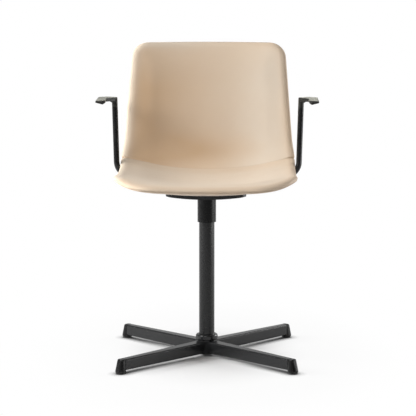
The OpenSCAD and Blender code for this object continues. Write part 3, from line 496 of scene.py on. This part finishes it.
def settle(piece):
    """Settles a panel over its foam as cloth, so the slack by the seam becomes soft puckers; caps each move."""
    mesh = piece.data
    for label in ("held", "slack"):
        group = piece.vertex_groups.new(name=label)
        for i, value in enumerate(mesh.attributes[label].data):
            group.add([i], value.value, "REPLACE")
    cloth = piece.modifiers.new("settle", "CLOTH")
    leather = cloth.settings
    leather.quality = 6
    leather.mass = 0.3
    leather.tension_stiffness = leather.compression_stiffness = 40.0
    leather.shear_stiffness = 20.0
    leather.bending_stiffness = 4.0
    leather.vertex_group_mass = "held"
    leather.vertex_group_shrink = "slack"
    leather.shrink_min = 0.0
    leather.shrink_max = -SLACK
    leather.use_pressure = True
    leather.uniform_pressure_force = 0.4
    leather.effector_weights.gravity = 0.0
    cloth.point_cache.frame_start = 1
    cloth.point_cache.frame_end = SETTLE_FRAMES
    rest = [v.co.copy() for v in mesh.vertices]
    for step in range(1, SETTLE_FRAMES + 1):
        scene.frame_set(step)
    settled = piece.evaluated_get(bpy.context.evaluated_depsgraph_get()).data
    moves = [settled.vertices[i].co - co for i, co in enumerate(rest)]
    piece.modifiers.remove(cloth)
    piece.vertex_groups.clear()
    scene.frame_set(1)
    for vertex, co, move in zip(mesh.vertices, rest, moves):
        if move.length > 0:
            vertex.co = co + move * (SETTLE_CAP * math.tanh(move.length / SETTLE_CAP) / move.length)


# The rings of a rim: the angle of each round the edge, in degrees, and how deep it is sunk.
top_rim = [(a, 0.0) for a in (8, 20, 34, 48, 62, 76, 90, 102, 112)]
top_rim += [(116, 0.35), (118.5, 1.0), (119.5, 2.0), (120, 3.2)]
rear_rim = [(a, 0.0) for a in (170, 157, 145, 137)]
rear_rim += [(132, -0.4), (128, -0.7), (124.5, -0.3), (122.5, 0.5), (121.3, 1.6), (121, 3.0)]
seat_leather = leather_panel("seat_leather", seat_rows, top_rim, 1)
back_leather = leather_panel("back_leather", back_rows, top_rim, 1)
rear_leather = leather_panel("rear_leather", rear_rows, rear_rim, -1)
for piece, stands_for in (
    (seat_leather, ("seat_cover", "seat_foam")),
    (back_leather, ("back_cover", "back_foam")),
    (rear_leather, ("rear_cover", "rear_padding")),
):
    settle(piece)
    shell = piece.modifiers.new("thickness", "SOLIDIFY")
    shell.thickness = LEATHER_THICK
    shell.offset = -1.0
    shell.edge_crease_outer = 1.0
    finer = piece.modifiers.new("smooth", "SUBSURF")
    finer.levels = finer.render_levels = 1
    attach(piece, "seat")
    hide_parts(*stands_for)

# Leather finish. Full-grain hide, tanned natural: a fine pebbled grain, slow cloudy changes of tone and painted
# light and shade in its tone, paler round the rims, partly where stretched and partly as painted highlight,
# darker down in the seams.
grain = bpy.data.node_groups.new("hide_grain", "ShaderNodeTree")
for label, way in (("Grain Scale", "INPUT"), ("Height", "OUTPUT"), ("Cloud", "OUTPUT"), ("Mottle", "OUTPUT")):
    grain.interface.new_socket(name=label, in_out=way, socket_type="NodeSocketFloat")
tree, links = grain.nodes, grain.links
enter = add(tree, "NodeGroupInput")
leave = add(tree, "NodeGroupOutput")
place = add(tree, "ShaderNodeTexCoord")
pebble = add(tree, "ShaderNodeTexVoronoi", {"Randomness": 0.9}, feature="DISTANCE_TO_EDGE")
soften = add(tree, "ShaderNodeMapRange", {"From Max": 0.28}, interpolation_type="SMOOTHSTEP")
creases = add(tree, "ShaderNodeTexNoise", {"Scale": 90.0, "Detail": 5.0})
height = add(tree, "ShaderNodeMath", {1: 0.55}, operation="MULTIPLY_ADD")
cloud = add(tree, "ShaderNodeTexNoise", {"Scale": 4.2, "Detail": 3.0, "Roughness": 0.55})
mottle = add(tree, "ShaderNodeTexNoise", {"Scale": 38.0, "Detail": 6.0})
links.new(place.outputs["Object"], pebble.inputs["Vector"])
links.new(place.outputs["Object"], creases.inputs["Vector"])
links.new(place.outputs["Object"], cloud.inputs["Vector"])
links.new(place.outputs["Object"], mottle.inputs["Vector"])
links.new(enter.outputs["Grain Scale"], pebble.inputs["Scale"])
links.new(pebble.outputs["Distance"], soften.inputs["Value"])
links.new(creases.outputs["Fac"], height.inputs[0])
links.new(soften.outputs[0], height.inputs[2])
links.new(height.outputs[0], leave.inputs["Height"])
links.new(cloud.outputs["Fac"], leave.inputs["Cloud"])
links.new(mottle.outputs["Fac"], leave.inputs["Mottle"])


def colour_steps(tree, *stops):
    """A colour ramp through the given places and colours."""
    ramp = add(tree, "ShaderNodeValToRGB")
    while len(ramp.color_ramp.elements) < len(stops):
        ramp.color_ramp.elements.new(0.5)
    for element, (place, colour) in zip(ramp.color_ramp.elements, stops):
        element.position = place
        element.color = (*colour, 1)
    return ramp


def tinted(tree, links, base, colour, mask, share):
    """Lays a colour over another where a mask shows it."""
    mix = add(tree, "ShaderNodeMix", {7: (*colour, 1)}, data_type="RGBA")
    amount = add(tree, "ShaderNodeMath", {1: share}, operation="MULTIPLY")
    links.new(mask, amount.inputs[0])
    links.new(amount.outputs[0], mix.inputs[0])
    links.new(base, mix.inputs[6])
    return mix.outputs[2]


leather, tree, links = new_material("tan_leather")
out = add(tree, "ShaderNodeOutputMaterial")
skin = add(tree, "ShaderNodeBsdfPrincipled", {
    "Specular IOR Level": 0.42, "Sheen Weight": 0.03, "Sheen Roughness": 0.45,
})
hide = add(tree, "ShaderNodeGroup", {"Grain Scale": 720.0}, node_tree=grain)
# The tone runs from painted shade in the hollow to painted light on the seat and rims; the cloud drifts it at
# random.
painted_shade_tan, mid_tan, painted_light_tan = (0.545, 0.374, 0.229), (0.595, 0.458, 0.330), (0.61, 0.520, 0.420)
tone = colour_steps(tree, (0.0, painted_shade_tan), (0.5, mid_tan), (1.0, painted_light_tan))
painted_light = add(tree, "ShaderNodeAttribute", attribute_name="painted_light")
drift = add(tree, "ShaderNodeMapRange", {"From Min": 0.3, "From Max": 0.7, "To Min": -0.09, "To Max": 0.09})
shifted = add(tree, "ShaderNodeMath", operation="ADD", use_clamp=True)
links.new(hide.outputs["Cloud"], drift.inputs["Value"])
links.new(painted_light.outputs["Fac"], shifted.inputs[0])
links.new(drift.outputs[0], shifted.inputs[1])
links.new(shifted.outputs[0], tone.inputs[0])
spots = tinted(tree, links, tone.outputs[0], (0.54, 0.40, 0.27), hide.outputs["Mottle"], 0.12)
seam = add(tree, "ShaderNodeAttribute", attribute_name="seam")
coloured = tinted(tree, links, spots, (0.42, 0.29, 0.18), seam.outputs["Fac"], 0.50)
links.new(coloured, skin.inputs["Base Color"])
rough = add(tree, "ShaderNodeMapRange", {"To Min": 0.54, "To Max": 0.68})
links.new(hide.outputs["Mottle"], rough.inputs["Value"])
links.new(rough.outputs[0], skin.inputs["Roughness"])
bump = add(tree, "ShaderNodeBump", {"Strength": 0.35, "Distance": 0.00018})
links.new(hide.outputs["Height"], bump.inputs["Height"])
links.new(bump.outputs[0], skin.inputs["Normal"])
links.new(skin.outputs[0], out.inputs["Surface"])
for piece in (seat_leather, back_leather, rear_leather):
    piece.data.materials.append(leather)


def finish_nodes(material, *names):
    """Gives CAD pieces a finish in place of the one that they came with."""
    for name in names:
        slots = nodes[name].data.materials
        slots.clear()
        slots.append(material)


# Shell core and foam. The core is moulded in one piece of ribless structural plastic; foam sheets are
# glued to it above and below, under the leather.
GRAIN_TO_MARKS = 18


def plain_finish(name, low, high, roughness, metallic=0.0, scale=60.0, bump_height=0.00005, specular=0.5,
                 sheen=0.0):
    """A finish that drifts between two colours and two roughnesses, with a fine grain in its surface."""
    material, tree, links = new_material(name)
    out = add(tree, "ShaderNodeOutputMaterial")
    surface = add(tree, "ShaderNodeBsdfPrincipled", {
        "Metallic": metallic, "Specular IOR Level": specular, "Sheen Weight": sheen,
        "Sheen Roughness": 0.4, "Sheen Tint": (0.86, 0.86, 0.70, 1),
    })
    place = add(tree, "ShaderNodeTexCoord")
    marks = add(tree, "ShaderNodeTexNoise", {"Scale": scale, "Detail": 4.0})
    links.new(place.outputs["Object"], marks.inputs["Vector"])
    tone = colour_steps(tree, (0.3, low), (0.7, high))
    links.new(marks.outputs["Fac"], tone.inputs[0])
    links.new(tone.outputs[0], surface.inputs["Base Color"])
    rough = add(tree, "ShaderNodeMapRange", {"To Min": roughness[0], "To Max": roughness[1]})
    links.new(marks.outputs["Fac"], rough.inputs["Value"])
    links.new(rough.outputs[0], surface.inputs["Roughness"])
    fine = add(tree, "ShaderNodeTexNoise", {"Scale": scale * GRAIN_TO_MARKS, "Detail": 2.0})
    links.new(place.outputs["Object"], fine.inputs["Vector"])
    bump = add(tree, "ShaderNodeBump", {"Strength": 0.4, "Distance": bump_height})
    links.new(fine.outputs["Fac"], bump.inputs["Height"])
    links.new(bump.outputs[0], surface.inputs["Normal"])
    links.new(surface.outputs[0], out.inputs["Surface"])
    return material


finish_nodes(plain_finish("core_plastic", (0.44, 0.36, 0.25), (0.52, 0.44, 0.32), (0.5, 0.65)), "shell_core")
foam_sheet = plain_finish("foam_sheet", (0.70, 0.64, 0.42), (0.80, 0.75, 0.55), (0.9, 0.98),
                          bump_height=0.0004)
finish_nodes(foam_sheet, "seat_foam", "back_foam", "rear_padding")

# Black enamel. The cast star base is glossy; the column, arm tubes and seat plate are satin, and the sleeve
# over the swivel is a deeper, smoother black.
base_enamel = plain_finish("base_enamel", (0.0085, 0.0088, 0.0093), (0.0110, 0.0113, 0.0118), (0.19, 0.25),
                           scale=30.0, bump_height=0.000004)
finish_nodes(base_enamel, "star_base")
satin_enamel = plain_finish("satin_enamel", (0.0042, 0.0043, 0.0045), (0.0058, 0.0060, 0.0062), (0.24, 0.31),
                            scale=40.0, bump_height=0.000006, specular=0.45)
finish_nodes(satin_enamel, "column_tube", "seat_plate", "arm_tube_left", "arm_tube_right")
sleeve_enamel = plain_finish("sleeve_enamel", (0.0025, 0.0026, 0.0027), (0.0036, 0.0037, 0.0038), (0.24, 0.30),
                             scale=40.0, bump_height=0.00001, specular=0.22)
finish_nodes(sleeve_enamel, "swivel_sleeve")

# Shoes, glides and armrests. Black plastic with a fine moulded grain, faintly olive on the armrests; the
# glides are a harder, dark grey plastic.
shoe_plastic = plain_finish("shoe_plastic", (0.006, 0.006, 0.006), (0.009, 0.009, 0.009), (0.25, 0.33),
                            scale=50.0, bump_height=0.00003, specular=0.28)
finish_nodes(shoe_plastic, "leg_cap_1", "leg_cap_2", "leg_cap_3", "leg_cap_4")
arm_plastic = plain_finish("arm_plastic", (0.0095, 0.0093, 0.0080), (0.0130, 0.0127, 0.0110), (0.30, 0.40),
                           sheen=0.22)
finish_nodes(arm_plastic, "armrest_left", "armrest_right")
finish_nodes(plain_finish("glide_plastic", (0.020, 0.020, 0.020), (0.030, 0.030, 0.030), (0.5, 0.65)),
             "glide_1", "glide_2", "glide_3", "glide_4")

# Swivel parts and fasteners. Ground steel spindle and bearing washers, brass cage and inserts, ivory bushes and
# zinc-plated screws, all hidden inside the column, the sleeve and the plate.
finish_nodes(plain_finish("ground_steel", (0.55, 0.55, 0.56), (0.66, 0.66, 0.67), (0.18, 0.3), 1.0, 200.0),
             "spindle", "bearing_lower_washer", "bearing_upper_washer", "bearing_balls")
finish_nodes(plain_finish("cage_brass", (0.62, 0.44, 0.18), (0.74, 0.56, 0.26), (0.28, 0.4), 1.0, 150.0),
             "bearing_cage", "shell_inserts")
finish_nodes(plain_finish("bush_plastic", (0.66, 0.63, 0.53), (0.75, 0.72, 0.63), (0.3, 0.4)),
             "lower_bush", "upper_bush", "sleeve_bush")
finish_nodes(plain_finish("zinc_plate", (0.36, 0.36, 0.35), (0.48, 0.48, 0.47), (0.34, 0.5), 0.95, 120.0),
             "column_plug", "column_washer", "column_bolt", "spindle_washer", "spindle_circlip",
             "spindle_top_washer", "spindle_top_bolt", "plate_screws", "plate_washers", "arm_socket_screws",
             "armrest_screws")
